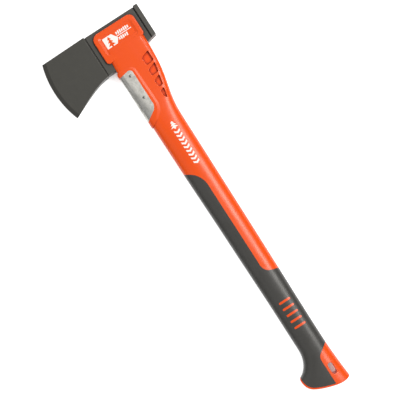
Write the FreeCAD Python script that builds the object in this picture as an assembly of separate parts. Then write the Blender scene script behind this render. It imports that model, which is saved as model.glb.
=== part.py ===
import FreeCAD, Part
import math
import os
from FreeCAD import Vector

# A felling axe with a steel head held in an injection-moulded composite handle.
# Drawing frame, millimetres: X runs from the top of the head to the butt, Y from the
# cutting edge to the poll with 0 at the front of the neck, Z across the axe with 0 on its
# middle plane.  place() moves a finished piece into the row frame, where the axe lies on
# its side: +Z up, origin under the middle of its box.

# ---------------------------------------------------------------- driving dimensions
OVERALL_LENGTH = 600.0      # from the toe of the blade to the end of the butt
HEAD_TOP = -1.2             # X of the blade's and the poll's top
TOE_X = -1.6                # the toe flares a little above it
HALF_THICKNESS = 16.4       # middle plane to the cheek pads, the widest place

EDGE_APEX_Y = -90.5         # furthest point of the cutting edge
POLL_FACE_Y = 74.0

EDGE_RADIUS = 140.0         # curve of the cutting edge, seen from the side
EDGE_CENTRE = Vector(41.0, EDGE_APEX_Y + EDGE_RADIUS, 0)
HEEL_X = 88.1
EDGE_HALF = 0.2
BEVEL_WIDTH = 6.0
BEVEL_HALF = 2.2            # half thickness where the ground bevel starts
CHEEK_HALF = 13.1           # half thickness at the blade's shoulder

SHOULDER_Y = -14.2          # back of the blade
POLL_FRONT_Y = 67.3
GROOVE_WIDTH = 1.4
GROOVE_DEPTH = 1.2
GROOVE_NOTCH = 0.25         # the groove's depth over the top and the underside
BELT_INSET = 1.3            # the belt's top lies this much below the blade's and the poll's
BLADE_STEP = 0.6            # the blade's underside stands this far below the belt's
BELT_HALF = 12.0
POLL_HALF = 14.2
# The underside of the belt and the poll: (y, x).
UNDERSIDE = [(-20.0, 62.8), (0.0, 62.3), (57.0, 51.8), (67.3, 49.9), (80.0, 47.0)]
FORGED_EDGE = 0.8           # radius on the forged edges
POLL_EDGE = 0.8
WEB_HALF = 4.5              # steel web between the two cheek pads
ANCHOR_RADIUS = 6.5         # holes in the web that the handle is moulded through
ANCHORS = [(21.0, 10.0), (21.0, 28.0), (21.0, 46.0)]

PAD_CORNERS = [(4.9, -5.8, 10.0), (4.9, 60.9, 9.0), (39.9, 60.9, 5.0), (51.3, -5.8, 5.0)]
PAD_EDGE = 1.6
RECESS_MOUTH = [(11.4, 0.6, 4.0), (11.4, 54.8, 4.0), (35.4, 54.8, 4.0), (41.4, 0.6, 4.0)]
RECESS_FLOOR = [(14.3, 4.4, 2.5), (14.3, 51.2, 2.5), (32.6, 51.2, 2.5), (37.4, 4.4, 2.5)]
RECESS_DEPTH = 1.5
LABEL_CORNERS = [(14.8, 5.0, 2.0), (14.8, 50.6, 2.0), (32.1, 50.6, 2.0), (36.8, 5.0, 2.0)]
LABEL_THICKNESS = 0.2

# Handle stations: front (x, y), back (x, y), half thickness, squareness of the section
# (2 is an ellipse, more is squarer).  Each section's plane holds its front and back points;
# the planes stand straight along the shaft and fan out round the butt.
STATIONS = [
    ((32.0, -1.0), (32.0, 58.3), 15.9, 8.0),
    ((62.0, -1.0), (62.0, 58.3), 15.4, 8.0),
    ((76.0, -1.0), (76.0, 57.4), 14.9, 7.6),
    ((91.0, -0.9), (91.0, 55.6), 14.6, 6.8),
    ((106.0, -0.9), (106.0, 52.7), 14.3, 5.6),
    ((121.0, -0.9), (121.0, 49.1), 14.0, 4.3),
    ((136.0, -0.9), (136.0, 45.9), 13.8, 3.4),
    ((151.0, -0.8), (151.0, 44.1), 13.6, 2.9),
    ((171.0, -0.7), (171.0, 43.6), 13.5, 2.5),
    ((230.0, -0.3), (230.0, 43.2), 13.4, 2.3),
    ((310.0, 0.8), (310.0, 42.6), 13.2, 2.3),
    ((400.0, 1.6), (400.0, 41.7), 13.1, 2.3),
    ((470.0, 2.1), (470.0, 40.8), 13.0, 2.3),
    ((520.0, 2.0), (520.0, 40.4), 13.0, 2.3),
    ((537.0, 1.2), (540.0, 40.5), 13.1, 2.3),
    ((549.5, -3.2), (559.0, 41.1), 13.4, 2.3),
    ((558.5, -10.4), (580.0, 42.4), 13.8, 2.4),
    ((563.7, -20.0), (604.0, 44.3), 13.9, 2.5),
    ((566.2, -34.0), (634.0, 47.0), 12.6, 2.6),
]
SECTION_POINTS = 24

# The butt's outline from the front tip, round the end, to the back.
BUTT_POINTS = [
    (551.0, -10.5), (561.8, -15.9), (564.8, -18.4), (570.0, -18.7), (577.0, -16.8), (583.0, -12.4),
    (587.6, -5.0), (591.2, 3.5), (594.6, 13.5), (597.2, 23.0), (598.4, 32.0), (597.8, 39.0),
    (596.2, 43.2), (589.0, 49.0),
]
CAP_THICKNESS = 1.7
SPIGOT_START = 580.0
SPIGOT_CLEARANCE = 0.1

GRIP_THICKNESS = 2.0
# Outline of the soft grip, seen from the side; it runs past the handle front and back.
GRIP_CORNERS = [
    (229.9, -40.0, 0.0), (229.9, -9.0, 0.0), (248.0, 21.1, 31.0), (409.0, 21.1, 14.0),
    (419.0, 50.0, 0.0), (532.0, 50.0, 0.0), (551.0, 21.1, 11.0), (620.0, 21.1, 0.0),
    (620.0, -40.0, 0.0),
]
WINDOW_COUNT = 5
WINDOW_FIRST_X = 459.1
WINDOW_PITCH = 10.0
WINDOW_LENGTH = 18.1
WINDOW_WIDTH = 3.2
WINDOW_CENTRE_Y = 22.8

# Weight-saving pockets in the back of the neck: corners (x, y, radius).
NECK_POCKETS = [
    [(62.3, 51.7, 1.0), (77.5, 51.4, 1.5), (79.7, 39.6, 2.5), (66.5, 38.8, 3.0)],
    [(80.7, 51.0, 1.0), (94.4, 48.5, 1.5), (95.9, 37.6, 2.5), (86.0, 37.9, 2.5)],
    [(98.4, 47.2, 1.0), (112.9, 44.0, 1.5), (114.0, 38.2, 2.0), (103.3, 36.5, 2.0)],
    [(117.2, 42.8, 0.8), (132.4, 39.4, 1.0), (127.4, 36.5, 1.5), (119.0, 36.9, 1.2)],
]
POCKET_FLOOR_HALF = 9.4
POCKET_EDGE = 0.6
RIM_ABOVE = 12.0            # rims of the pockets and the slot lie further out than this

# The raised land round the guard: a gentle slope leads up from its foot to its top.
LAND_FOOT = [(68.3, -12.0, 0.0), (62.2, 26.0, 11.0), (143.0, 26.0, 19.0), (162.0, -12.0, 0.0)]
LAND_TOP = [(73.2, -12.0, 0.0), (67.6, 21.0, 8.0), (137.0, 21.0, 14.0), (155.6, -12.0, 0.0)]
LAND_FOOT_HALF = 13.95      # heights of the slope at the land's middle
LAND_TOP_HALF = 14.7
LAND_MIDDLE_X = 115.0
LAND_PITCH = 0.85           # degrees that the neck's cheek falls away towards the shaft
LAND_SIDE_RISE = 0.5
LAND_FRONT_RISE = 1.5
LIP_FRONT_RISE = 2.7        # the lip that shields the guard's upper end
LIP_CORNERS = [(69.0, -12.0, 0.0), (68.6, 4.0, 0.0), (73.6, 4.0, 0.0), (74.2, -12.0, 0.0)]
GUARD_CORNERS = [(76.3, -12.0, 0.0), (70.8, 18.0, 5.0), (134.3, 18.0, 12.0), (153.0, -12.0, 0.0)]
GUARD_THICKNESS = 1.2

RIVETS = {"guard_rivet_upper": (79.5, 12.0), "guard_rivet_lower": (114.5, 12.0)}
RIVET_RADIUS = 1.6
RIVET_HEAD_RADIUS = 2.1
RIVET_HEAD_RISE = 1.0

SLOT_START = 565.0
SLOT_END = 582.6
SLOT_WIDTH = 6.8
SLOT_Y = 28.0
SLOT_EDGE = 0.8

# The cavity left in the shaft: X, middle Y, half depth, half thickness.
CAVITY = [
    (128.0, 20.0, 6.0, 3.5),
    (140.0, 20.5, 12.5, 7.0),
    (165.0, 21.5, 15.4, 8.4),
    (490.0, 21.2, 15.0, 8.2),
    (528.0, 19.0, 12.6, 7.6),
    (556.0, 10.0, 9.0, 6.4),
    (576.0, 5.5, 7.5, 6.0),
    (608.0, 3.5, 7.5, 6.0),
]

ROW_SHIFT = Vector(
    -TOE_X - OVERALL_LENGTH / 2,
    -(EDGE_APEX_Y + POLL_FACE_Y) / 2,
    HALF_THICKNESS,
)
FAR = 60.0                  # past the object on either side of the middle plane


# ---------------------------------------------------------------- drawing helpers
def rounded_outline(corners, z=0.0):
    """A closed wire at height z through corners (x, y, radius), each rounded by its radius."""
    arcs = []
    count = len(corners)
    for i, (x, y, radius) in enumerate(corners):
        here = Vector(x, y, z)
        before = Vector(corners[i - 1][0], corners[i - 1][1], z)
        after = Vector(corners[(i + 1) % count][0], corners[(i + 1) % count][1], z)
        back = (before - here).normalize()
        ahead = (after - here).normalize()
        half = back.getAngle(ahead) / 2
        reach = radius / math.tan(half)
        inward = (back + ahead).normalize()
        middle = here + inward * (radius / math.sin(half) - radius)
        arcs.append((here + back * reach, middle, here + ahead * reach))
    edges = []
    for i, (start, middle, stop) in enumerate(arcs):
        if corners[i][2] > 0:
            edges.append(Part.Arc(start, middle, stop).toShape())
        following = arcs[(i + 1) % count][0]
        edges.append(Part.LineSegment(stop, following).toShape())
    return Part.Wire(edges)


def prism(wire, low, high):
    """The solid between z = low and z = high over a wire drawn at z = 0."""
    face = Part.Face(wire)
    face.translate(Vector(0, 0, low))
    return face.extrude(Vector(0, 0, high - low))


def block(x0, x1, y0, y1, half):
    return Part.makeBox(x1 - x0, y1 - y0, 2 * half, Vector(x0, y0, -half))


def mirrored(shape):
    """The same shape on the other side of the middle plane."""
    return shape.mirror(Vector(0, 0, 0), Vector(0, 0, 1))


def rims(shape, corners, above):
    """The edges of shape within the corners' box, further than above from the middle plane."""
    margin = 1.5
    low_x = min(c[0] for c in corners) - margin
    high_x = max(c[0] for c in corners) + margin
    low_y = min(c[1] for c in corners) - margin
    high_y = max(c[1] for c in corners) + margin
    found = []
    for edge in shape.Edges:
        box = edge.BoundBox
        level = box.XMin > low_x and box.XMax < high_x and box.YMin > low_y and box.YMax < high_y
        if level and abs(edge.CenterOfMass.z) > above:
            found.append(edge)
    return found


def both_sides(shape):
    return shape.fuse(mirrored(shape))


def round_wire(front, back, half_thickness, squareness):
    """A closed smooth section whose plane holds front and back and runs across the axe."""
    middle = (front + back) / 2
    half_depth = (back - front) / 2
    points = []
    for i in range(SECTION_POINTS):
        turn = 2 * math.pi * i / SECTION_POINTS
        across = math.copysign(abs(math.cos(turn)) ** (2 / squareness), math.cos(turn))
        up = math.copysign(abs(math.sin(turn)) ** (2 / squareness), math.sin(turn))
        points.append(middle + half_depth * across + Vector(0, 0, half_thickness * up))
    steps = [i / SECTION_POINTS for i in range(SECTION_POINTS + 1)]
    curve = Part.BSplineCurve()
    curve.interpolate(Points=points, Parameters=steps, PeriodicFlag=True)
    return Part.Wire([curve.toShape()])


def handle_loft(inset, front_extra=0.0):
    """The handle's outer form, drawn in by inset all round (out, if negative)."""
    wires = []
    for front, back, half, squareness in STATIONS:
        front = Vector(front[0], front[1], 0)
        back = Vector(back[0], back[1], 0)
        depthwise = (back - front).normalize()
        wires.append(round_wire(
            front + depthwise * (inset - front_extra), back - depthwise * inset,
            half - inset, squareness,
        ))
    return Part.makeLoft(wires, True, False)


def place(shape):
    """Moves a piece from the drawing frame into the row frame."""
    moved = shape.copy()
    moved.translate(ROW_SHIFT)
    return moved


# ---------------------------------------------------------------- the steel head
def underside(y):
    """X of the belt's underside at y, along its straight stretches."""
    for (y0, x0), (y1, x1) in zip(UNDERSIDE, UNDERSIDE[1:]):
        if y0 <= y <= y1:
            return x0 + (y - y0) / (y1 - y0) * (x1 - x0)
    raise ValueError("y is outside the head")


def edge_arc(radius, z, x0=-12.0, x1=102.0):
    """An arc about the cutting edge's centre, from x0 to x1 at height z."""
    def at(x):
        drop = math.sqrt(radius ** 2 - (x - EDGE_CENTRE.x) ** 2)
        return Vector(x, EDGE_CENTRE.y - drop, z)
    return Part.Arc(at(x0), at((x0 + x1) / 2), at(x1)).toShape()


def blade_outline():
    """The blade from the side: straight top, curved edge, hollow beard."""
    edge_y = EDGE_CENTRE.y - math.sqrt(EDGE_RADIUS ** 2 - (TOE_X - EDGE_CENTRE.x) ** 2)
    heel_y = EDGE_CENTRE.y - math.sqrt(EDGE_RADIUS ** 2 - (HEEL_X - EDGE_CENTRE.x) ** 2)
    toe = Vector(TOE_X, edge_y, 0)
    heel = Vector(HEEL_X, heel_y, 0)
    apex = Vector(EDGE_CENTRE.x, EDGE_APEX_Y, 0)
    top = Vector(HEAD_TOP, SHOULDER_Y, 0)
    root = Vector(underside(SHOULDER_Y) + BLADE_STEP, SHOULDER_Y, 0)
    beard = Part.BSplineCurve()
    beard.interpolate([heel, Vector(80.8, -67.0, 0), Vector(73.1, -50.0, 0),
                       Vector(65.2, -27.0, 0), root])
    return Part.Wire([
        Part.LineSegment(top, toe).toShape(),
        Part.Arc(toe, apex, heel).toShape(),
        beard.toShape(),
        Part.LineSegment(root, top).toShape(),
    ])


def blade():
    shoulder = Part.LineSegment(
        Vector(-12, SHOULDER_Y, CHEEK_HALF), Vector(102, SHOULDER_Y, CHEEK_HALF)
    ).toShape()
    start = edge_arc(EDGE_RADIUS - BEVEL_WIDTH, BEVEL_HALF)
    past = 1.0
    slope = (BEVEL_HALF - EDGE_HALF) / BEVEL_WIDTH
    stop = edge_arc(EDGE_RADIUS + past, EDGE_HALF - slope * past)
    down = Vector(0, 0, -FAR)
    cheek = Part.makeRuledSurface(shoulder, start).extrude(down)
    bevel = Part.makeRuledSurface(start, stop).extrude(down)
    half = cheek.fuse(bevel).common(prism(blade_outline(), 0, FAR))
    whole = both_sides(half).removeSplitter()
    long_edges = [e for e in whole.Edges if e.BoundBox.YLength > 40 and abs(e.CenterOfMass.z) > 3]
    shoulders = [e for e in whole.Edges if e.BoundBox.YMin > SHOULDER_Y - 0.1
                 and e.BoundBox.XLength > 20]
    return whole.makeFillet(FORGED_EDGE, long_edges + shoulders)


def head_block(y0, y1, inset, half, lift=0.0):
    """A block across the head between y0 and y1, with its top at inset, its underside lifted."""
    top = HEAD_TOP + inset
    corners = [(top, y0, 0), (underside(y0) - lift, y0, 0)]
    corners += [(x - lift, y, 0) for y, x in UNDERSIDE if y0 < y < y1]
    corners += [(underside(y1) - lift, y1, 0), (top, y1, 0)]
    return prism(rounded_outline(corners), -half, half)


def steel_body():
    """The whole head before the handle's moulding is taken out of it."""
    belt = head_block(SHOULDER_Y + GROOVE_WIDTH, POLL_FRONT_Y - GROOVE_WIDTH, BELT_INSET, BELT_HALF)
    belt = belt.makeFillet(FORGED_EDGE, belt.Edges)
    spine = head_block(SHOULDER_Y - 4, POLL_FRONT_Y + 4, BELT_INSET + GROOVE_NOTCH,
                       BELT_HALF - GROOVE_DEPTH, GROOVE_NOTCH)
    poll = head_block(POLL_FRONT_Y, POLL_FACE_Y, 0, POLL_HALF)
    poll = poll.makeFillet(POLL_EDGE, poll.Edges)
    return blade().fuse([spine, belt, poll]).removeSplitter()


def web(steel):
    """The plate of steel between the two pads, with the holes the handle is moulded through."""
    plate = steel.common(block(-20, 120, -20, 80, WEB_HALF))
    for x, y in ANCHORS:
        plate = plate.cut(Part.makeCylinder(ANCHOR_RADIUS, 2 * FAR, Vector(x, y, -FAR)))
    return plate


# ---------------------------------------------------------------- the handle's layers
def butt_region(shift=0.0):
    """All that lies inside the butt's outline, drawn in towards the handle by shift."""
    points = [Vector(x - shift, y + shift, 0) for x, y in BUTT_POINTS]
    curve = Part.BSplineCurve()
    curve.interpolate(points)
    far = [points[-1], Vector(0, 90, 0), Vector(0, -60, 0), points[0]]
    sides = [Part.LineSegment(a, b).toShape() for a, b in zip(far, far[1:])]
    return prism(Part.Wire([curve.toShape()] + sides), -FAR, FAR)


def window_prism(i):
    """One of the long windows through the grip, across the whole handle."""
    x = WINDOW_FIRST_X + i * WINDOW_PITCH
    radius = WINDOW_WIDTH / 2
    round_end = radius * 0.999
    corners = [
        (x - radius, WINDOW_CENTRE_Y - WINDOW_LENGTH / 2, round_end),
        (x + radius, WINDOW_CENTRE_Y - WINDOW_LENGTH / 2, round_end),
        (x + radius, WINDOW_CENTRE_Y + WINDOW_LENGTH / 2, round_end),
        (x - radius, WINDOW_CENTRE_Y + WINDOW_LENGTH / 2, round_end),
    ]
    return prism(rounded_outline(corners), -FAR, FAR)


def slot_corners():
    radius = SLOT_WIDTH / 2
    round_end = radius * 0.999
    return [
        (SLOT_START, SLOT_Y - radius, round_end),
        (SLOT_END, SLOT_Y - radius, round_end),
        (SLOT_END, SLOT_Y + radius, round_end),
        (SLOT_START, SLOT_Y + radius, round_end),
    ]


def cavity(inset=0.0):
    wires = []
    for x, y, half_depth, half_thickness in CAVITY:
        reach = Vector(0, half_depth - inset, 0)
        middle = Vector(x, y, 0)
        wires.append(round_wire(middle - reach, middle + reach, half_thickness - inset, 2.0))
    return Part.makeLoft(wires, True, False)


def cheek_pad():
    """The moulding on one side of the head, with its label recess."""
    pad = prism(rounded_outline(PAD_CORNERS), 0, HALF_THICKNESS)
    rim = [e for e in pad.Edges if e.BoundBox.ZMin > HALF_THICKNESS - 0.01]
    pad = pad.makeFillet(PAD_EDGE, rim)
    mouth = rounded_outline(RECESS_MOUTH, HALF_THICKNESS)
    floor = rounded_outline(RECESS_FLOOR, HALF_THICKNESS - RECESS_DEPTH)
    return pad.cut(Part.makeLoft([floor, mouth], True, True))


def label(side):
    z = HALF_THICKNESS - RECESS_DEPTH
    film = prism(rounded_outline(LABEL_CORNERS), z, z + LABEL_THICKNESS)
    return film if side > 0 else mirrored(film)


def land(raised):
    """The raised ground round the guard on both sides and the front of the neck."""
    foot = rounded_outline(LAND_FOOT, LAND_FOOT_HALF)
    top = rounded_outline(LAND_TOP, LAND_TOP_HALF)
    side = prism(rounded_outline(LAND_FOOT), 0, LAND_FOOT_HALF)
    side = side.fuse(Part.makeLoft([foot, top], True, True))
    side.rotate(Vector(LAND_MIDDLE_X, 0, 0), Vector(0, 1, 0), LAND_PITCH)
    return raised.common(both_sides(side))


def rivet(x, y, seat):
    """A through rivet whose two heads sit seat above the middle plane."""
    head = Part.makeCylinder(RIVET_HEAD_RADIUS, RIVET_HEAD_RISE + 0.3, Vector(x, y, seat - 0.3))
    rim = [e for e in head.Edges if e.BoundBox.ZMin > seat + RIVET_HEAD_RISE - 0.01
           and len(e.Vertexes) == 1 and e.Length > RIVET_HEAD_RADIUS]
    head = head.makeFillet(RIVET_HEAD_RISE * 0.95, rim)
    shank = Part.makeCylinder(RIVET_RADIUS, 2 * seat, Vector(x, y, -seat))
    return shank.fuse([head, mirrored(head)]).removeSplitter()


def build():
    steel = steel_body()
    body = handle_loft(0.0)
    core = handle_loft(GRIP_THICKNESS)
    inside = butt_region(CAP_THICKNESS)
    shaft = body.common(inside)

    overmoulding = prism(rounded_outline(GRIP_CORNERS), -FAR, FAR)
    for i in range(WINDOW_COUNT):
        overmoulding = overmoulding.cut(window_prism(i))
    overmoulding = overmoulding.cut(core)

    raised = handle_loft(-LAND_SIDE_RISE, LAND_FRONT_RISE - LAND_SIDE_RISE)
    seat = handle_loft(GUARD_THICKNESS - LAND_SIDE_RISE, LAND_FRONT_RISE - LAND_SIDE_RISE)
    plating = prism(rounded_outline(GUARD_CORNERS), -FAR, FAR).cut(seat)

    grip = shaft.common(overmoulding)
    guard = raised.common(plating)
    lip = handle_loft(-LAND_SIDE_RISE, LIP_FRONT_RISE - LAND_SIDE_RISE)
    lip = lip.common(prism(rounded_outline(LIP_CORNERS), -FAR, FAR))
    moulding = shaft.fuse([both_sides(cheek_pad()), land(raised), lip])
    moulding = moulding.cut(overmoulding).cut(plating)
    moulding = moulding.cut(web(steel))
    head = steel.cut(moulding)

    cap = body.cut(inside).common(butt_region())
    spigot = cavity(SPIGOT_CLEARANCE).common(block(SPIGOT_START, 620, -40, 60, 20))
    cap = cap.fuse(spigot.common(butt_region(CAP_THICKNESS / 2)))

    handle = moulding.cut(prism(rounded_outline(slot_corners()), -FAR, FAR)).cut(cavity())
    for corners in NECK_POCKETS:
        pocket = prism(rounded_outline(corners), POCKET_FLOOR_HALF, FAR)
        handle = handle.cut(both_sides(pocket))
    handle = handle.makeFillet(SLOT_EDGE, rims(handle, slot_corners(), RIM_ABOVE))
    for corners in NECK_POCKETS:
        handle = handle.makeFillet(POCKET_EDGE, rims(handle, corners, RIM_ABOVE))

    pieces = {
        "axe_head": head,
        "handle": handle,
        "soft_grip": grip,
        "butt_cap": cap,
        "overstrike_guard": guard,
        "label_left": label(1),
        "label_right": label(-1),
    }
    for name, (x, y) in RIVETS.items():
        line = Part.makeLine(Vector(x, y, 0), Vector(x, y, FAR))
        seat = raised.common(line).BoundBox.ZMax
        pin = rivet(x, y, seat)
        pieces[name] = pin
        pieces["handle"] = pieces["handle"].cut(pin)
        pieces["overstrike_guard"] = pieces["overstrike_guard"].cut(pin)
    return pieces


def main():
    os.makedirs("parts", exist_ok=True)
    for name, shape in build().items():
        solids = place(shape).Solids
        kept = Part.makeCompound(solids) if len(solids) > 1 else solids[0]
        kept.exportStep("parts/%s.step" % name)
        box = kept.BoundBox
        print("%-18s solids %d valid %s volume %.1f cm3  box %.1f x %.1f x %.1f" % (
            name, len(solids), kept.isValid(), kept.Volume / 1000,
            box.XLength, box.YLength, box.ZLength))


main()
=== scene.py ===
"""Looks of a felling axe with a moulded composite handle, built round its CAD frame."""

import math

import bmesh
import bpy
from bpy.props import FloatProperty, FloatVectorProperty, IntProperty, PointerProperty
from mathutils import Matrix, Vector


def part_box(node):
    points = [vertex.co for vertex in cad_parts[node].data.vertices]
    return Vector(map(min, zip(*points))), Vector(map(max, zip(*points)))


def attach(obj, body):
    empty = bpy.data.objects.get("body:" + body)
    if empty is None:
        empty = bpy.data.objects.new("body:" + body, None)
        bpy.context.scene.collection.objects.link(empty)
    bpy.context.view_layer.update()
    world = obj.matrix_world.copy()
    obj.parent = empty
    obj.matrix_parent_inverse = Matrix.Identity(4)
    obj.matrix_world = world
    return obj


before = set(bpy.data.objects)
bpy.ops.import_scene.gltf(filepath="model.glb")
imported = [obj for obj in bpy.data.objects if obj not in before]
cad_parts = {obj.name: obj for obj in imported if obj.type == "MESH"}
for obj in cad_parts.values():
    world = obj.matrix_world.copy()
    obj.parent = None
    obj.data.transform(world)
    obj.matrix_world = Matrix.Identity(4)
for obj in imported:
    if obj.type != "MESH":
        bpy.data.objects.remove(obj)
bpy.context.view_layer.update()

bl_info = {
    "name": "Felling Axe",
    "version": (1, 0, 0),
    "blender": (4, 5, 0),
    "location": "3D View > Sidebar > Felling Axe",
    "description": "Finishes a felling axe: coatings, mouldings, printed marks and the studio",
    "category": "Object",
}

MM = 0.001
BODY = "root"
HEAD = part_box("axe_head")
LABELS = {"left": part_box("label_left"), "right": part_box("label_right")}
MIDDLE_Z = (HEAD[0].z + HEAD[1].z) / 2
SIDES = {"left": 1, "right": -1}
TIER_TOP = 0.12             # width of a tree tier's top, as a share of its base

# The zero of the maker's drawing: the top of the head level with the front of the neck.
# Its X runs to the butt, its Y to the poll, its Z up from the axe's middle plane.
TOE_ABOVE_TOP = 1.6
EDGE_BEFORE_NECK = 90.5
ZERO = Vector((HEAD[0].x + TOE_ABOVE_TOP * MM, HEAD[0].y + EDGE_BEFORE_NECK * MM, MIDDLE_Z))


def spot(x, y, z=0.0):
    """A place on the drawing, in millimetres, as a place in the scene."""
    return ZERO + Vector((x, y, z)) * MM


def to_linear(hex_colour):
    """sRGB hex, such as F3612E, to linear RGBA."""
    channels = [int(hex_colour[i:i + 2], 16) / 255 for i in (0, 2, 4)]
    linear = [c / 12.92 if c <= 0.04045 else ((c + 0.055) / 1.055) ** 2.4 for c in channels]
    return (*linear, 1.0)


def per_metre(millimetres):
    """A texture's scale for features of this size."""
    return 1.0 / (millimetres * MM)


# ---------------------------------------------------------------- settings
def colour(name, description, hex_colour):
    return FloatVectorProperty(name=name, description=description, subtype="COLOR", size=4,
                               min=0.0, max=1.0, default=to_linear(hex_colour))


def length(name, description, millimetres):
    return FloatProperty(name=name, description=description, subtype="DISTANCE", unit="LENGTH",
                         min=0.0, precision=5, default=millimetres * MM)


class FinishSettings(bpy.types.PropertyGroup):
    coat: colour("Coat", "Baked coating on the forged head", "42413D")
    coat_pale: colour("Coat, rubbed", "The same coating where handling has polished it", "4B4A45")
    # The bevel colour is darker partly for the thinner coat and partly as painted shade for the
    # bevel's downward tilt.
    coat_bevel: colour("Coat on the bevel", "Thinner coating over the ground bevel", "393834")
    # The deep coat colour is painted shade for the grooves and the foot of the pads, not dirt.
    coat_painted_shade: colour("Coat, deep", "Dirt in the grooves and by the pads", "262522")
    bare_edge: colour("Bare edge", "Steel showing along the cutting edge", "6E6D6A")
    polyamide: colour("Polyamide", "Orange of the moulded handle", "EE4E06")
    polyamide_pale: colour("Polyamide, pale", "Orange where the glass lies at the surface", "F0560E")
    # The deep orange is painted shade for the corners of the pockets and the recess.
    polyamide_painted_shade: colour("Polyamide, deep", "Orange in the corners of the pockets", "A8300C")
    film: colour("Label film", "Orange of the printed label", "F05619")
    rubber: colour("Grip", "Dark grey of the overmoulded grip", "3B3A37")
    rubber_pale: colour("Grip, dusty", "The grip's grey where it has been handled", "434240")
    stainless: colour("Stainless", "Pressed stainless sheet", "CBCAC5")
    stainless_dull: colour("Stainless, smudged", "Finger marks on the sheet", "B0AFAA")
    rivet: colour("Rivet", "Bright metal of the rivet heads", "C9C8C4")
    rivet_dull: colour("Rivet, dull", "Where the snap tool marked the heads", "8C8B87")
    ink: colour("Ink", "White printing ink", "FBFBF8")


class MarkSettings(bpy.types.PropertyGroup):
    tag_length: length("Tag length", "Length of the white tag across the label", 14.6)
    tag_width: length("Tag width", "Width of the white tag", 18.4)
    tag_point: length("Tag point", "How far the tag's point stands out", 6.4)
    ink_thickness: length("Ink thickness", "Thickness of the printed layer", 0.05)
    lift: length("Lift", "Gap that keeps a printed layer clear of what it lies on", 0.04)
    chevrons: IntProperty(name="Chevrons", description="Chevrons in the shaft's printed row",
                          min=1, max=20, default=9)
    chevron_pitch: length("Chevron pitch", "Distance from one chevron to the next", 6.2)
    chevron_height: length("Chevron height", "Size of a chevron across the shaft", 8.8)
    chevron_stroke: length("Chevron stroke", "Thickness of a chevron's arms", 2.9)


class StudioSettings(bpy.types.PropertyGroup):
    floor_size: length("Floor", "Side of the square floor", 6000.0)
    camera_height: length("Camera height", "Camera above the axe's middle plane", 2000.0)
    view_width: length("View width", "Width seen at the axe's middle plane", 561.0)
    lean: FloatProperty(name="Lean", description="Angle of the axe to the picture's upright",
                        subtype="ANGLE", default=math.radians(32.8))
    sky: FloatProperty(name="Tent", description="Brightness of the white tent all round",
                       min=0.0, default=1.05)
    far_side: FloatProperty(name="Far side", default=0.5, min=0.0, max=1.0,
                            description="Brightness of the tent's far side, as a share")
    near_side: FloatProperty(name="Near side", default=0.22, min=0.0, max=1.0,
                             description="Brightness of the tent's near side, as a share")
    glow: FloatProperty(name="Table glow", default=0.92, min=0.0,
                        description="Brightness of the lit table")
    opening: FloatProperty(name="Opening", subtype="ANGLE", default=math.radians(18),
                           description="Angle from overhead to the rim of the tent's opening")
    key_power: FloatProperty(name="Key", description="Power of the softbox behind the poll",
                             subtype="POWER", unit="POWER", min=0.0, default=26.0)


# ---------------------------------------------------------------- shared tools
def add_node(tree, kind, links=None, **settings):
    """Adds a node, sets its properties or its sockets by name, and links its inputs."""
    node = tree.nodes.new(kind)
    for name, value in settings.items():
        if hasattr(node, name):
            setattr(node, name, value)
        else:
            node.inputs[name.replace("_", " ")].default_value = value
    for socket, source in (links or {}).items():
        tree.links.new(source, node.inputs[socket])
    return node


def new_material(name, **shader):
    """A material with its shader and output, and the Object coordinates that patterns use."""
    material = bpy.data.materials.new(name)
    material.use_nodes = True
    tree = material.node_tree
    tree.nodes.clear()
    output = add_node(tree, "ShaderNodeOutputMaterial")
    principled = add_node(tree, "ShaderNodeBsdfPrincipled", **shader)
    tree.links.new(principled.outputs["BSDF"], output.inputs["Surface"])
    place = add_node(tree, "ShaderNodeTexCoord").outputs["Object"]
    return material, tree, principled, place


def blend_colours(tree, first, second, factor):
    """A mix of two colours (or colour sockets) by a factor socket; returns its result."""
    mix = add_node(tree, "ShaderNodeMix", data_type="RGBA")
    for socket, source in ((mix.inputs[6], first), (mix.inputs[7], second)):
        if isinstance(source, bpy.types.NodeSocket):
            tree.links.new(source, socket)
        else:
            socket.default_value = source
    tree.links.new(factor, mix.inputs[0])
    return mix.outputs[2]


def deselect_all():
    if bpy.context.object and bpy.context.object.mode != "OBJECT":
        bpy.ops.object.mode_set(mode="OBJECT")
    bpy.ops.object.select_all(action="DESELECT")


def dress(nodes, material):
    """Gives CAD nodes their finish."""
    for name in nodes:
        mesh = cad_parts[name].data
        mesh.materials.clear()
        mesh.materials.append(material)


def select_corners(piece, wanted):
    """In edit mode, selects the corners for which wanted is true, with the edges between them."""
    shape = bmesh.from_edit_mesh(piece.data)
    for vert in shape.verts:
        vert.select = wanted(vert.co)
    shape.select_flush(True)
    shape.select_flush(False)
    bmesh.update_edit_mesh(piece.data)


def add_patch(middle, size, lean=0.0):
    """A flat patch of ink: a plane, its +X side slid by lean along Y."""
    bpy.ops.mesh.primitive_plane_add(size=1.0, location=middle)
    patch = bpy.context.object
    bpy.ops.object.mode_set(mode="EDIT")
    bpy.ops.transform.resize(value=(size[0], size[1], 1.0))
    select_corners(patch, lambda place: place.x > 0)
    bpy.ops.transform.translate(value=(0.0, lean, 0.0))
    bpy.ops.object.mode_set(mode="OBJECT")
    return patch


def join_pieces(pieces, name):
    """Joins pieces into one object at the origin, with its place in its mesh."""
    deselect_all()
    for piece in pieces:
        piece.select_set(True)
    bpy.context.view_layer.objects.active = pieces[0]
    if len(pieces) > 1:
        bpy.ops.object.join()
    joined = bpy.context.object
    joined.name = name
    bpy.ops.object.transform_apply(location=True, rotation=True, scale=True)
    return joined


def apply_modifiers(piece):
    deselect_all()
    piece.select_set(True)
    bpy.context.view_layer.objects.active = piece
    for modifier in list(piece.modifiers):
        bpy.ops.object.modifier_apply(modifier=modifier.name)


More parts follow.
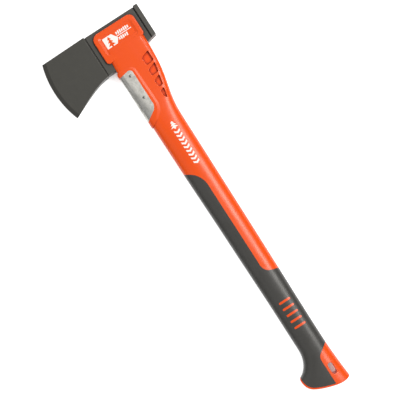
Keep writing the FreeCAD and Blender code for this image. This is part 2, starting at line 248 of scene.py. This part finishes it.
def print_on(piece, side, thickness, target=None, lift=0.0):
    """Turns flat patches into a thin layer of ink, laid on the target's surface if given."""
    deselect_all()
    piece.select_set(True)
    bpy.context.view_layer.objects.active = piece
    bpy.ops.object.mode_set(mode="EDIT")
    bpy.ops.mesh.select_all(action="SELECT")
    bpy.ops.mesh.normals_make_consistent(inside=False)
    bpy.ops.mesh.select_all(action="DESELECT")
    for face in bmesh.from_edit_mesh(piece.data).faces:
        face.select_set(face.normal.z * side < 0)
    bpy.ops.mesh.flip_normals()
    bpy.ops.object.mode_set(mode="OBJECT")
    if target:
        wrap = piece.modifiers.new("lie_on_surface", "SHRINKWRAP")
        wrap.target = target
        wrap.wrap_method = "PROJECT"
        wrap.wrap_mode = "ABOVE_SURFACE"
        wrap.use_project_z = True
        wrap.use_positive_direction = side < 0
        wrap.use_negative_direction = side > 0
        wrap.offset = lift
    layer = piece.modifiers.new("ink_thickness", "SOLIDIFY")
    layer.thickness = thickness
    layer.offset = 1.0
    apply_modifiers(piece)


# ---------------------------------------------------------------- finishes
class AXE_OT_coat_head(bpy.types.Operator):
    """Coats the forged head and shows the ground bevel"""
    bl_idname = "axe.coat_head"
    bl_label = "Coat the Head"

    def execute(self, context):
        finish = context.scene.axe_finish
        # Forged medium-carbon steel under a baked matt coating: a dark warm grey, nearly even,
        # with a faint orange-peel texture.  The bevel is ground, so fine lines run across it.
        material, tree, shader, place = new_material(
            "baked_coating_on_forged_steel", Roughness=0.46, Specular_IOR_Level=0.42)
        edge_radius = 140.0
        edge_centre = spot(41.0, edge_radius - EDGE_BEFORE_NECK)
        bevel_width = 6.0
        flat = add_node(tree, "ShaderNodeVectorMath", operation="SUBTRACT",
                        links={0: place})
        flat.inputs[1].default_value = edge_centre
        flat = add_node(tree, "ShaderNodeVectorMath", operation="MULTIPLY",
                        links={0: flat.outputs[0]})
        flat.inputs[1].default_value = (1.0, 1.0, 0.0)
        reach = add_node(tree, "ShaderNodeVectorMath", operation="LENGTH",
                         links={0: flat.outputs[0]})
        bevel = add_node(tree, "ShaderNodeMapRange", links={"Value": reach.outputs["Value"]},
                         From_Min=(edge_radius - bevel_width - 0.4) * MM,
                         From_Max=(edge_radius - bevel_width + 0.4) * MM)
        bare = add_node(tree, "ShaderNodeMapRange", links={"Value": reach.outputs["Value"]},
                        From_Min=(edge_radius - 0.9) * MM, From_Max=(edge_radius - 0.1) * MM)
        mottle = add_node(tree, "ShaderNodeTexNoise", links={"Vector": place},
                          Scale=per_metre(11.0), Detail=4.0, Roughness=0.6)
        grey = blend_colours(tree, finish.coat, finish.coat_pale, mottle.outputs["Fac"])
        # The bevel is painted darker: partly its thinner coat, partly painted shade for its downward
        # tilt.
        grey = blend_colours(tree, grey, finish.coat_bevel, bevel.outputs["Result"])
        grey = blend_colours(tree, grey, finish.bare_edge, bare.outputs["Result"])
        # Painted shade: ambient occlusion darkens the coat in the grooves and along the foot of the
        # handle's pads.
        shelter = add_node(tree, "ShaderNodeAmbientOcclusion", samples=12, Distance=7.0 * MM)
        painted_shade_mask = add_node(tree, "ShaderNodeMapRange", links={"Value": shelter.outputs["AO"]},
                         From_Min=0.45, From_Max=0.95, To_Min=1.0, To_Max=0.0)
        grey = blend_colours(tree, grey, finish.coat_painted_shade, painted_shade_mask.outputs["Result"])
        tree.links.new(grey, shader.inputs["Base Color"])
        # Orange peel about 0.4 mm across is too fine to show, so it is drawn at 1.1 mm.
        peel = add_node(tree, "ShaderNodeTexNoise", links={"Vector": place},
                        Scale=per_metre(1.1), Detail=2.0)
        # Grinding lines 0.25 mm apart, drawn at 0.6 mm so that they show.
        parts = add_node(tree, "ShaderNodeSeparateXYZ", links={"Vector": flat.outputs[0]})
        turn = add_node(tree, "ShaderNodeMath", operation="ARCTAN2",
                        links={0: parts.outputs["X"], 1: parts.outputs["Y"]})
        lines = add_node(tree, "ShaderNodeTexNoise", noise_dimensions="1D",
                         links={"W": turn.outputs[0]}, Scale=edge_radius / 0.6, Detail=2.0)
        relief = add_node(tree, "ShaderNodeMix", data_type="FLOAT",
                          links={0: bevel.outputs["Result"], 2: peel.outputs["Fac"],
                                 3: lines.outputs["Fac"]})
        bump = add_node(tree, "ShaderNodeBump", Strength=0.22, Distance=0.06 * MM,
                        links={"Height": relief.outputs[0]})
        tree.links.new(bump.outputs["Normal"], shader.inputs["Normal"])
        polish = add_node(tree, "ShaderNodeMapRange", links={"Value": mottle.outputs["Fac"]},
                          From_Min=0.3, From_Max=0.7, To_Min=0.52, To_Max=0.42)
        tree.links.new(polish.outputs["Result"], shader.inputs["Roughness"])
        dress(["axe_head"], material)
        return {"FINISHED"}


class AXE_OT_mould_handle(bpy.types.Operator):
    """Gives the handle and the butt cap their moulded orange polyamide"""
    bl_idname = "axe.mould_handle"
    bl_label = "Mould the Handle"

    def execute(self, context):
        finish = context.scene.axe_finish
        # Glass-filled polyamide 6, injection moulded in a fine-sparked tool: saturated orange,
        # satin, with slow changes of shade where the melt flowed and glass lies near the skin.
        material, tree, shader, place = new_material(
            "orange_glass_filled_polyamide", Roughness=0.3, Specular_IOR_Level=0.45)
        flow_scale = add_node(tree, "ShaderNodeMapping", links={"Vector": place})
        flow_scale.inputs["Scale"].default_value = (0.35, 1.0, 1.0)
        flow = add_node(tree, "ShaderNodeTexNoise", links={"Vector": flow_scale.outputs[0]},
                        Scale=per_metre(16.0), Detail=3.0, Roughness=0.55)
        shade = blend_colours(tree, finish.polyamide, finish.polyamide_pale, flow.outputs["Fac"])
        # Painted shade: ambient occlusion darkens the orange in the corners of the pockets and the
        # recess.
        shelter = add_node(tree, "ShaderNodeAmbientOcclusion", samples=12, only_local=True,
                           Distance=4.5 * MM)
        painted_shade_mask = add_node(tree, "ShaderNodeMapRange", links={"Value": shelter.outputs["AO"]},
                         From_Min=0.35, From_Max=0.92, To_Min=1.0, To_Max=0.0)
        shade = blend_colours(tree, shade, finish.polyamide_painted_shade, painted_shade_mask.outputs["Result"])
        tree.links.new(shade, shader.inputs["Base Color"])
        # Spark texture about 0.1 mm across, drawn at 0.7 mm so that it shows.
        grain = add_node(tree, "ShaderNodeTexNoise", links={"Vector": place},
                         Scale=per_metre(0.7), Detail=2.0)
        # The two halves of the mould meet on the middle plane and leave a fine raised line.
        parts = add_node(tree, "ShaderNodeSeparateXYZ", links={"Vector": place})
        off_middle = add_node(tree, "ShaderNodeMath", operation="SUBTRACT",
                              links={0: parts.outputs["Z"]})
        off_middle.inputs[1].default_value = MIDDLE_Z
        off_middle = add_node(tree, "ShaderNodeMath", operation="ABSOLUTE",
                              links={0: off_middle.outputs[0]})
        seam = add_node(tree, "ShaderNodeMapRange", links={"Value": off_middle.outputs[0]},
                        From_Min=0.1 * MM, From_Max=0.3 * MM, To_Min=2.0, To_Max=0.0)
        height = add_node(tree, "ShaderNodeMath", operation="ADD",
                          links={0: grain.outputs["Fac"], 1: seam.outputs["Result"]})
        bump = add_node(tree, "ShaderNodeBump", Strength=0.07, Distance=0.05 * MM,
                        links={"Height": height.outputs[0]})
        tree.links.new(bump.outputs["Normal"], shader.inputs["Normal"])
        satin = add_node(tree, "ShaderNodeMapRange", links={"Value": flow.outputs["Fac"]},
                         From_Min=0.3, From_Max=0.7, To_Min=0.33, To_Max=0.27)
        tree.links.new(satin.outputs["Result"], shader.inputs["Roughness"])
        dress(["handle", "butt_cap"], material)
        return {"FINISHED"}


class AXE_OT_overmould_grip(bpy.types.Operator):
    """Gives the soft grip its dark elastomer"""
    bl_idname = "axe.overmould_grip"
    bl_label = "Overmould the Grip"

    def execute(self, context):
        finish = context.scene.axe_finish
        # Thermoplastic elastomer moulded over the handle: matt dark grey, soft highlights, a
        # fine even texture and a little paler where dust and hands have dulled it.
        material, tree, shader, place = new_material(
            "grey_thermoplastic_elastomer", Roughness=0.36, Specular_IOR_Level=0.5)
        dust = add_node(tree, "ShaderNodeTexNoise", links={"Vector": place},
                        Scale=per_metre(20.0), Detail=5.0, Roughness=0.6)
        grey = blend_colours(tree, finish.rubber, finish.rubber_pale, dust.outputs["Fac"])
        tree.links.new(grey, shader.inputs["Base Color"])
        # Moulded texture about 0.2 mm across, drawn at 0.8 mm so that it shows.
        grain = add_node(tree, "ShaderNodeTexVoronoi", links={"Vector": place},
                         Scale=per_metre(0.8))
        bump = add_node(tree, "ShaderNodeBump", Strength=0.25, Distance=0.06 * MM,
                        links={"Height": grain.outputs["Distance"]})
        tree.links.new(bump.outputs["Normal"], shader.inputs["Normal"])
        dull = add_node(tree, "ShaderNodeMapRange", links={"Value": dust.outputs["Fac"]},
                        From_Min=0.3, From_Max=0.7, To_Min=0.33, To_Max=0.39)
        tree.links.new(dull.outputs["Result"], shader.inputs["Roughness"])
        dress(["soft_grip"], material)
        return {"FINISHED"}


class AXE_OT_press_guard(bpy.types.Operator):
    """Gives the overstrike guard and its rivets their stainless steel"""
    bl_idname = "axe.press_guard"
    bl_label = "Press the Guard"

    def execute(self, context):
        finish = context.scene.axe_finish
        # Pressed stainless sheet, tumbled dull: soft cloudy reflections with duller smudges,
        # and faint marks along the way that the sheet was rolled.
        material, tree, shader, place = new_material(
            "tumbled_stainless_sheet", Metallic=1.0, Roughness=0.36)
        clouds = add_node(tree, "ShaderNodeTexNoise", links={"Vector": place},
                          Scale=per_metre(8.0), Detail=4.0, Roughness=0.6, Distortion=0.6)
        patches = add_node(tree, "ShaderNodeMapRange", links={"Value": clouds.outputs["Fac"]},
                           From_Min=0.38, From_Max=0.62)
        grey = blend_colours(tree, finish.stainless, finish.stainless_dull,
                             patches.outputs["Result"])
        tree.links.new(grey, shader.inputs["Base Color"])
        rolled = add_node(tree, "ShaderNodeMapping", links={"Vector": place})
        rolled.inputs["Scale"].default_value = (per_metre(14.0), per_metre(0.6), per_metre(0.6))
        lines = add_node(tree, "ShaderNodeTexNoise", links={"Vector": rolled.outputs[0]},
                         Scale=1.0, Detail=2.0)
        dents = add_node(tree, "ShaderNodeTexNoise", links={"Vector": place},
                         Scale=per_metre(5.0), Detail=1.0)
        coarse = add_node(tree, "ShaderNodeBump", Strength=0.5, Distance=0.25 * MM,
                          links={"Height": dents.outputs["Fac"]})
        bump = add_node(tree, "ShaderNodeBump", Strength=0.15, Distance=0.05 * MM,
                        links={"Height": lines.outputs["Fac"], "Normal": coarse.outputs[0]})
        tree.links.new(bump.outputs["Normal"], shader.inputs["Normal"])
        dull = add_node(tree, "ShaderNodeMapRange", links={"Value": patches.outputs["Result"]},
                        To_Min=0.42, To_Max=0.55)
        tree.links.new(dull.outputs["Result"], shader.inputs["Roughness"])
        dress(["overstrike_guard"], material)
        # Cold-headed stainless rivets, bright from the heading die, with dull rings where the
        # snap tool turned on them, so the domes catch one hard highlight.
        material, tree, shader, place = new_material(
            "headed_stainless_rivets", Metallic=1.0, Roughness=0.12)
        rings = add_node(tree, "ShaderNodeTexNoise", links={"Vector": place},
                         Scale=per_metre(0.9), Detail=2.0)
        grey = blend_colours(tree, finish.rivet, finish.rivet_dull, rings.outputs["Fac"])
        tree.links.new(grey, shader.inputs["Base Color"])
        bump = add_node(tree, "ShaderNodeBump", Strength=0.2, Distance=0.05 * MM,
                        links={"Height": rings.outputs["Fac"]})
        tree.links.new(bump.outputs["Normal"], shader.inputs["Normal"])
        dress(["guard_rivet_upper", "guard_rivet_lower"], material)
        return {"FINISHED"}


class AXE_OT_print_labels(bpy.types.Operator):
    """Lays the label film and prints its tag, tree, line and rows of bars"""
    bl_idname = "axe.print_labels"
    bl_label = "Print the Labels"

    def execute(self, context):
        finish = context.scene.axe_finish
        marks = context.scene.axe_marks
        # Polyester label film, screen-printed orange: smoother than the moulding round it.
        material, tree, shader, place = new_material(
            "orange_polyester_label_film", Roughness=0.3, Specular_IOR_Level=0.35)
        tone = add_node(tree, "ShaderNodeTexNoise", links={"Vector": place},
                        Scale=per_metre(12.0), Detail=2.0)
        shade = blend_colours(tree, finish.film, finish.polyamide_pale, tone.outputs["Fac"])
        tree.links.new(shade, shader.inputs["Base Color"])
        ripple = add_node(tree, "ShaderNodeTexNoise", links={"Vector": place},
                          Scale=per_metre(3.0), Detail=1.0)
        bump = add_node(tree, "ShaderNodeBump", Strength=0.1, Distance=0.05 * MM,
                        links={"Height": ripple.outputs["Fac"]})
        tree.links.new(bump.outputs["Normal"], shader.inputs["Normal"])
        dress(["label_left", "label_right"], material)
        ink = white_ink(finish)
        for name, side in SIDES.items():
            box = LABELS[name]
            surface = box[1].z if side > 0 else box[0].z
            level = (surface - MIDDLE_Z) / MM * side
            print_tag(name, side, level, marks, ink, material)
        return {"FINISHED"}


def white_ink(finish):
    """Two-part white screen ink: opaque, slightly glossy, with an uneven film."""
    existing = bpy.data.materials.get("white_screen_ink")
    if existing:
        return existing
    material, tree, shader, place = new_material(
        "white_screen_ink", Roughness=0.4, Specular_IOR_Level=0.4)
    cover = add_node(tree, "ShaderNodeTexNoise", links={"Vector": place},
                     Scale=per_metre(1.5), Detail=3.0)
    pale = to_linear("F1EEE9")
    shade = blend_colours(tree, finish.ink, pale, cover.outputs["Fac"])
    tree.links.new(shade, shader.inputs["Base Color"])
    return material


def finish_mark(patches, name, side, material, thickness, cuts=0, target=None, lift=0.0):
    """Joins patches into one printed mark that moves with the axe."""
    mark = join_pieces(patches, name)
    if cuts:
        bpy.ops.object.mode_set(mode="EDIT")
        bpy.ops.mesh.select_all(action="SELECT")
        bpy.ops.mesh.subdivide(number_cuts=cuts)
        bpy.ops.object.mode_set(mode="OBJECT")
    print_on(mark, side, thickness, target, lift)
    mark.data.materials.clear()
    mark.data.materials.append(material)
    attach(mark, BODY)
    return mark


def print_tag(name, side, level, marks, ink, film):
    """The label's white tag with a tree on it, and a ruled line between two rows of bars."""
    deselect_all()
    lift = marks.lift / MM
    low = level + lift
    tag_middle_x = 24.8
    tag_start_y = 6.0
    tag_length = marks.tag_length / MM
    body = add_patch(spot(tag_middle_x, tag_start_y + tag_length / 2, low * side),
                     (marks.tag_width, marks.tag_length))
    point = add_point(spot(tag_middle_x, tag_start_y + tag_length, low * side),
                      marks.tag_width, marks.tag_point)
    finish_mark([body, point], "label_tag_" + name, side, ink, marks.ink_thickness)
    # A conifer of three tiers and a trunk, its top towards the head's top.
    high = low + marks.ink_thickness / MM + lift
    tree_y = tag_start_y + tag_length / 2 + 1.2
    tiers = [(19.0, 4.0, 5.4), (23.0, 4.6, 8.2), (27.4, 5.0, 11.0)]
    pieces = []
    for x, height, base in tiers:
        piece = add_patch(spot(x, tree_y, high * side), (height * MM, base * MM))
        taper_top(piece, TIER_TOP)
        pieces.append(piece)
    pieces.append(add_patch(spot(31.2, tree_y, high * side), (3.0 * MM, 2.6 * MM)))
    finish_mark(pieces, "label_tree_" + name, side, film, marks.ink_thickness)
    # The ruled line and two rows of slanted bars beside the tag.
    rule_x, rule_y = 22.6, 37.6
    rule_size = (1.1 * MM, 24.0 * MM)
    bar_width = 2.1 * MM
    bar_lean = -0.5 * MM
    bar_pitch = 3.05
    strip = [add_patch(spot(rule_x, rule_y, low * side), rule_size)]
    for x, count, start in ((18.6, 7, 28.0), (27.0, 5, 28.4)):
        for i in range(count):
            tall = 5.0 if i % 3 else 3.6
            y = start + bar_pitch * i
            strip.append(add_patch(spot(x, y, low * side), (tall * MM, bar_width), bar_lean))
    finish_mark(strip, "label_rows_" + name, side, ink, marks.ink_thickness)


def add_point(base, width, reach):
    """A triangle of ink that stands on its base along X and points along +Y."""
    bpy.ops.mesh.primitive_plane_add(size=1.0, location=base + Vector((0, reach / 2, 0)))
    point = bpy.context.object
    bpy.ops.object.mode_set(mode="EDIT")
    bpy.ops.transform.resize(value=(width, reach, 1.0))
    select_corners(point, lambda place: place.y > 0)
    bpy.ops.mesh.merge(type="CENTER")
    bpy.ops.object.mode_set(mode="OBJECT")
    return point


def taper_top(piece, share):
    """Narrows the side of a patch that lies towards the head's top to this share."""
    bpy.context.view_layer.objects.active = piece
    bpy.ops.object.mode_set(mode="EDIT")
    select_corners(piece, lambda place: place.x < 0)
    bpy.ops.transform.resize(value=(1.0, share, 1.0))
    bpy.ops.object.mode_set(mode="OBJECT")


class AXE_OT_print_shaft(bpy.types.Operator):
    """Prints the tree emblem and the row of chevrons on the shaft"""
    bl_idname = "axe.print_shaft"
    bl_label = "Print the Shaft"

    def execute(self, context):
        marks = context.scene.axe_marks
        ink = white_ink(context.scene.axe_finish)
        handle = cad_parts["handle"]
        middle_y = 25.4
        above = 20.0        # the patches start this far out and are laid down on the shaft
        for name, side in SIDES.items():
            deselect_all()
            tiers = [(164.6, 3.2, 5.6), (167.6, 3.4, 8.4), (171.0, 3.6, 11.2)]
            pieces = []
            for x, height, base in tiers:
                piece = add_patch(spot(x, middle_y, above * side), (height * MM, base * MM))
                taper_top(piece, TIER_TOP)
                pieces.append(piece)
            pieces.append(add_patch(spot(173.6, middle_y, above * side), (2.4 * MM, 2.4 * MM)))
            finish_mark(pieces, "shaft_tree_" + name, side, ink, marks.ink_thickness,
                        cuts=5, target=handle, lift=marks.lift)
            deselect_all()
            pieces = []
            arm = marks.chevron_height / 2
            slide = 2.6 * MM
            for i in range(marks.chevrons):
                x = 179.6 * MM + i * marks.chevron_pitch
                for half in (1, -1):
                    middle = spot(0, middle_y, above * side) + Vector((x, half * arm / 2, 0))
                    pieces.append(add_arm(middle, marks.chevron_stroke, arm, half * slide))
            finish_mark(pieces, "shaft_chevrons_" + name, side, ink, marks.ink_thickness,
                        cuts=5, target=handle, lift=marks.lift)
        return {"FINISHED"}


def add_arm(middle, stroke, height, slide):
    """One arm of a chevron: a plane whose +Y side slides along X."""
    bpy.ops.mesh.primitive_plane_add(size=1.0, location=middle)
    arm = bpy.context.object
    bpy.ops.object.mode_set(mode="EDIT")
    bpy.ops.transform.resize(value=(stroke, height, 1.0))
    for end in (1, -1):
        select_corners(arm, lambda place: place.y * end > 0)
        bpy.ops.transform.translate(value=(-end * slide / 2, 0.0, 0.0))
    bpy.ops.object.mode_set(mode="OBJECT")
    return arm


# ---------------------------------------------------------------- studio
def fill_ramp(ramp, stops):
    """Gives a colour ramp its greys: a position and a brightness for each stop."""
    while len(ramp.elements) < len(stops):
        ramp.elements.new(1.0)
    for stop, (position, share) in zip(ramp.elements, stops):
        stop.position = position
        stop.color = (share, share, share, 1.0)


class AXE_OT_set_stage(bpy.types.Operator):
    """Sets the floor, the dome and softbox, and the camera above the axe"""
    bl_idname = "axe.set_stage"
    bl_label = "Set the Stage"

    def execute(self, context):
        studio = context.scene.axe_studio
        scene = context.scene
        deselect_all()
        bpy.ops.mesh.primitive_plane_add(size=studio.floor_size, location=(0, 0, -0.5 * MM))
        floor = bpy.context.object
        floor.name = "studio_floor"
        bpy.ops.object.transform_apply(location=True, rotation=True, scale=True)
        # White acrylic table lit from below, as for catalogue pictures: it washes out shadows.
        material, tree, shader, _ = new_material(
            "lit_white_acrylic_table", Roughness=0.9, Specular_IOR_Level=0.0,
            Base_Color=(0.6, 0.6, 0.6, 1.0), Emission_Color=(1.0, 1.0, 1.0, 1.0))
        # Painted shadow: ambient occlusion dims the table's glow where the axe shelters it, as at
        # the bottom of the hang slot.
        shelter = add_node(tree, "ShaderNodeAmbientOcclusion", samples=12, Distance=40.0 * MM)
        glow = add_node(tree, "ShaderNodeMapRange", links={"Value": shelter.outputs["AO"]},
                        From_Min=0.25, From_Max=0.38, To_Min=0.26, To_Max=studio.glow)
        tree.links.new(glow.outputs["Result"], shader.inputs["Emission Strength"])
        floor.data.materials.append(material)

        world = bpy.data.worlds.new("studio_dome")
        scene.world = world
        world.use_nodes = True
        # A white tent that darkens towards its skirt, with a dim opening overhead for the camera.
        tree = world.node_tree
        tent = tree.nodes["Background"]
        direction = add_node(tree, "ShaderNodeTexCoord").outputs["Generated"]
        parts = add_node(tree, "ShaderNodeSeparateXYZ", links={"Vector": direction})
        cloth = add_node(tree, "ShaderNodeValToRGB", links={"Fac": parts.outputs["Z"]})
        rim = math.cos(studio.opening)
        bands = ((0.0, 0.15), (0.35, 0.2), (0.62, 1.0), (rim - 0.06, 1.0), (rim, 0.35))
        fill_ramp(cloth.color_ramp, bands)
        tree.links.new(cloth.outputs["Color"], tent.inputs["Color"])
        # The cloth is brightest overhead and dimmer at both sides of the axe.
        across = add_node(tree, "ShaderNodeMapRange", links={"Value": parts.outputs["Y"]},
                          From_Min=-1.0, From_Max=1.0)
        sides = add_node(tree, "ShaderNodeValToRGB", links={"Fac": across.outputs["Result"]})
        shares = ((0.1, studio.far_side), (0.5, 0.82), (0.6, 0.92), (0.85, studio.near_side))
        fill_ramp(sides.color_ramp, shares)
        strength = add_node(tree, "ShaderNodeMath", operation="MULTIPLY",
                            links={0: sides.outputs["Color"]})
        strength.inputs[1].default_value = studio.sky
        tree.links.new(strength.outputs[0], tent.inputs["Strength"])

        # A long warm softbox beyond the poll puts one soft highlight along the handle.
        lamp = bpy.data.lights.new("key_softbox", "AREA")
        lamp.shape = "RECTANGLE"
        lamp.size, lamp.size_y = 1.3, 0.6
        lamp.energy = studio.key_power
        lamp.color = (1.0, 0.98, 0.94)
        holder = bpy.data.objects.new("key_softbox", lamp)
        holder.location = Vector((-0.1, 0.9, 1.66))
        holder.rotation_euler = (-holder.location).to_track_quat("-Z", "Y").to_euler()
        scene.collection.objects.link(holder)

        camera = bpy.data.cameras.new("catalogue_camera")
        holder = bpy.data.objects.new("catalogue_camera", camera)
        scene.collection.objects.link(holder)
        scene.camera = holder
        camera.sensor_width = 36.0
        camera.lens = camera.sensor_width * studio.camera_height / studio.view_width
        camera.clip_end = 20.0
        aim = spot(277.0, 0.0)
        holder.location = aim + Vector((0, 0, studio.camera_height))
        holder.rotation_euler = (0, 0, math.radians(90) - studio.lean)
        scene.view_settings.view_transform = "Standard"
        return {"FINISHED"}


STEPS = (
    AXE_OT_coat_head, AXE_OT_mould_handle, AXE_OT_overmould_grip, AXE_OT_press_guard,
    AXE_OT_print_labels, AXE_OT_print_shaft, AXE_OT_set_stage,
)


class AXE_PT_panel(bpy.types.Panel):
    """Lists the axe's finishes, marks and stage"""
    bl_idname = "AXE_PT_panel"
    bl_label = "Felling Axe"
    bl_space_type = "VIEW_3D"
    bl_region_type = "UI"
    bl_category = "Felling Axe"

    def draw(self, context):
        for settings in (context.scene.axe_finish, context.scene.axe_marks,
                         context.scene.axe_studio):
            column = self.layout.column(align=True)
            for name in settings.__annotations__:
                column.prop(settings, name)
        for step in STEPS:
            self.layout.operator(step.bl_idname)


CLASSES = (FinishSettings, MarkSettings, StudioSettings, *STEPS, AXE_PT_panel)


def register():
    for cls in CLASSES:
        bpy.utils.register_class(cls)
    bpy.types.Scene.axe_finish = PointerProperty(type=FinishSettings)
    bpy.types.Scene.axe_marks = PointerProperty(type=MarkSettings)
    bpy.types.Scene.axe_studio = PointerProperty(type=StudioSettings)


def unregister():
    del bpy.types.Scene.axe_studio
    del bpy.types.Scene.axe_marks
    del bpy.types.Scene.axe_finish
    for cls in reversed(CLASSES):
        bpy.utils.unregister_class(cls)


def main():
    register()
    bpy.ops.axe.coat_head()
    bpy.ops.axe.mould_handle()
    bpy.ops.axe.overmould_grip()
    bpy.ops.axe.press_guard()
    bpy.ops.axe.print_labels()
    bpy.ops.axe.print_shaft()
    bpy.ops.axe.set_stage()


if __name__ == "__main__":
    main()
